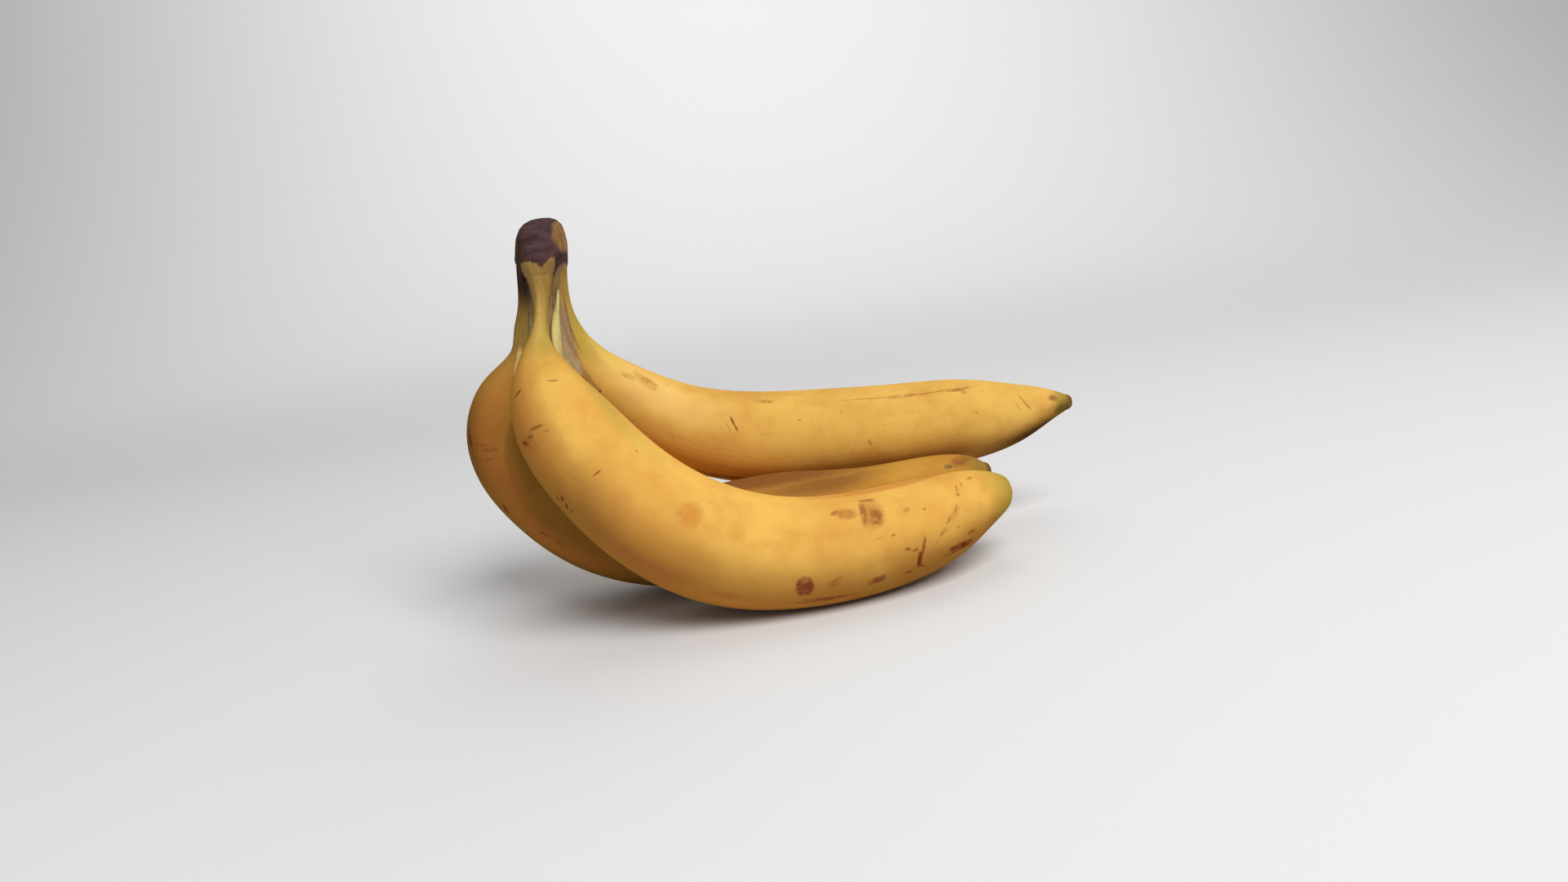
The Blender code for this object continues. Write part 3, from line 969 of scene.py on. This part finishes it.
# The webs: each is a thin sheet from the middle of one stalk to the middle of the next, and back round.
spread = np.linspace(0, 1, WEB_STEPS)
both_sides = np.concatenate((spread, spread[::-1]))
for first, second, low, thin, arch, torn in WEBS:
    levels = np.linspace(WEB_TOP, low, WEB_RINGS)
    rows = []
    for level in levels:
        start = stalk_at(first, level)[0]
        end = stalk_at(second, level)[0]
        foot = FOOT_THICKNESS + (1 - FOOT_THICKNESS) * float(ease(low, low + FOOT_HEIGHT, level))
        thick = thin * (1 + WEB_GROWTH * float(ease(*WEB_THICKENS, level))) * foot
        ahead = (end - start) / np.linalg.norm(end - start)
        aside = np.array((-ahead[1], ahead[0]))
        ribs = [noise.fractal(Vector((way * 9, level * 0.1, low)), *WEB_RIBS) for way in spread]
        out = thick * (1 + WEB_UNEVEN * np.array(ribs))
        one = start + spread[:, None] * (end - start) + aside * out[:, None]
        other = start + spread[::-1, None] * (end - start) - aside * out[::-1, None]
        between = np.clip((both_sides - ARCH_START) / ARCH_SPAN, 0, 1)
        sag = arch * float(ease(low + ARCH_HEIGHT, low, level)) * np.sin(math.pi * between)
        rows.append(np.column_stack((np.vstack((one, other)), level + sag)))
    scar = np.outer(ease(*TORN_BELOW, levels), ease(*TORN_ACROSS, both_sides)).ravel() if torn else 0.0
    add_part(rows, hollow=1.0, scarred=scar)

# The pale strip is an uneven round cord, flattened against the web.
spin = np.linspace(0, 2 * math.pi, STRIP_STEPS, endpoint=False)
rows = []
for x, y, z, half in smooth_line(PALE_STRIP, STRIP_RINGS)[0]:
    size = half * (1 + STRIP_UNEVEN * np.cos(3 * spin + z * 0.4))
    rows.append(np.column_stack((
        x + size * np.cos(spin), y + STRIP_DEPTH * size * np.sin(spin), np.full(STRIP_STEPS, z))))
add_part(rows, pale=1.0)

all_points, all_faces, all_skin = zip(*parts)
points = np.vstack(all_points)
starts = np.cumsum([0] + [len(one) for one in all_points])
faces = [[i + int(start) for i in face] for start, some in zip(starts, all_faces) for face in some]
mesh = bpy.data.meshes.new("crown_cushion")
mesh.from_pydata((points * MM).tolist(), [], faces)
store(mesh, "bark", above_edge(points))
for kind, values in zip(SKIN_KINDS, zip(*all_skin)):
    store(mesh, kind, np.concatenate(values))
mesh.validate()
mesh.shade_smooth()
crown = bpy.data.objects.new("crown_cushion", mesh)
bpy.context.collection.objects.link(crown)

# Dull fibre: bark at the top, olive stalk round the core, grey-tan with painted shade in the hollows, a torn
# inner face beside the rear stalk and the strip's cream.
material, tree = new_material("crown_fibre")
place = place_in_mm(tree)
bark = place_effect(tree, crown_bark, {"Place": place, "Above": stored(tree, "bark")})
speck = grain(tree, stretched(tree, place, (1, 1, 0.3)), 0.7, 3.0, 0.7)
shaded = over(tree, fade(tree, speck, 0.5, 0.62), tone(156, 130, 88), tone(174, 154, 110))
shaded = over(tree, fade(tree, bark["Height"], 0.54, 0.64), shaded, tone(120, 90, 60))
inner = over(tree, fade(tree, speck, 0.4, 0.62), tone(182, 156, 116), tone(162, 134, 98))
height = node(tree, "SeparateXYZ", {0: place}).outputs[2]
# Low down the torn face turns to the peel's ochre, darkened with painted shade in the groove.
inner = over(tree, fade(tree, height, 76.0, 82.0, 1.0, 0.0), inner, tone(156, 112, 54))
# Painted shade: the hollows darken upwards, deep under the cushion.
shaded = over(tree, fade(tree, height, 99.0, 107.0, 0.0, 0.85), shaded, tone(128, 102, 64))
shaded = over(tree, stored(tree, "scarred"), shaded, inner)
colour = over(tree, stored(tree, "hollow"), bark["Stalk"], shaded)
cream = over(tree, fade(tree, bark["Height"], 0.4, 0.65), tone(210, 194, 128), tone(196, 174, 108))
colour = over(tree, stored(tree, "pale"), colour, cream)
colour = over(tree, bark["Cover"], colour, bark["Bark"])
bump = node(tree, "Bump", {"Strength": 0.5, "Distance": 0.0005, "Height": bark["Height"]}).outputs[0]
rough = fade(tree, bark["Cover"], 0.0, 1.0, 0.58, 0.8)
shader = node(tree, "BsdfPrincipled", {
    "Base Color": colour, "Roughness": rough, "Specular IOR Level": 0.1, "Normal": bump})
node(tree, "OutputMaterial", {"Surface": shader.outputs[0]})
mesh.materials.append(material)
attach(crown, "root")
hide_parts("crown")

# Studio
# A plain pale floor that curves up into the wall behind, soft light from above and in front, more of it on
# the wall, and the camera. Lengths are in metres.
FLOOR_FRONT = -3.0
FLOOR_BEND = 0.9
BEND_RADIUS = 1.2
BEND_STEPS = 24
WALL_TOP = 5.0
HALF_WIDTH = 5.0
profile = [(FLOOR_FRONT, 0.0), (FLOOR_BEND, 0.0)]
for i in range(1, BEND_STEPS + 1):
    angle = math.pi / 2 * i / BEND_STEPS
    profile.append((FLOOR_BEND + BEND_RADIUS * math.sin(angle), BEND_RADIUS - BEND_RADIUS * math.cos(angle)))
profile.append((FLOOR_BEND + BEND_RADIUS, WALL_TOP))
corners = [(x, y, z) for y, z in profile for x in (-HALF_WIDTH, HALF_WIDTH)]
mesh = bpy.data.meshes.new("studio_floor")
mesh.from_pydata(corners, [], [(2 * i, 2 * i + 1, 2 * i + 3, 2 * i + 2) for i in range(len(profile) - 1)])
mesh.shade_smooth()
floor = bpy.data.objects.new("studio_floor", mesh)
bpy.context.collection.objects.link(floor)
material = bpy.data.materials.new("studio_paper")
material.use_nodes = True
paper = material.node_tree.nodes["Principled BSDF"].inputs
paper["Base Color"].default_value = tone(230, 230, 230)
paper["Roughness"].default_value = 0.9
paper["Specular IOR Level"].default_value = 0.1
mesh.materials.append(material)

# Square soft lights: name, place, the point that each is aimed at, width, and power in watts.
LIGHTS = (
    ("key_light", (0.5, -0.8, 1.15), (0, 0, 0.05), 0.9, 18.5),
    ("top_light", (0.1, 0.5, 1.3), (0, 0, 0.05), 1.0, 3),
    ("wall_light", (0, 1.2, 1.7), (0, 2.5, 1.1), 2.0, 20),
)
for name, place, aim, width, power in LIGHTS:
    lamp = bpy.data.lights.new(name, "AREA")
    lamp.size = width
    lamp.energy = power
    box = bpy.data.objects.new(name, lamp)
    box.location = place
    box.rotation_euler = (Vector(aim) - Vector(place)).to_track_quat("-Z", "Y").to_euler()
    bpy.context.collection.objects.link(box)

AIR_LIGHT = 0.2
world = bpy.data.worlds.new("studio_air")
bpy.context.scene.world = world
world.use_nodes = True
world.node_tree.nodes["Background"].inputs["Color"].default_value = (1, 1, 1, 1)
world.node_tree.nodes["Background"].inputs["Strength"].default_value = AIR_LIGHT

# The photograph's own view: from 12 degrees above, turned 8 degrees about the line of sight. The lens and
# the sensor are in mm.
CAMERA_PLACE = (-0.0003, -0.3497, 0.1215)
CAMERA_ELEVATION = math.radians(12)
CAMERA_ROLL = math.radians(-8)
CAMERA_LENS = 24.45
CAMERA_SENSOR = 36
NEAREST = 0.01
camera_data = bpy.data.cameras.new("camera")
camera_data.lens = CAMERA_LENS
camera_data.sensor_width = CAMERA_SENSOR
camera_data.clip_start = NEAREST
camera = bpy.data.objects.new("camera", camera_data)
camera.matrix_world = (Matrix.Translation(CAMERA_PLACE)
                       @ Matrix.Rotation(math.pi / 2 - CAMERA_ELEVATION, 4, "X")
                       @ Matrix.Rotation(CAMERA_ROLL, 4, "Z"))
bpy.context.collection.objects.link(camera)
bpy.context.scene.camera = camera
bpy.context.scene.view_settings.view_transform = "Standard"
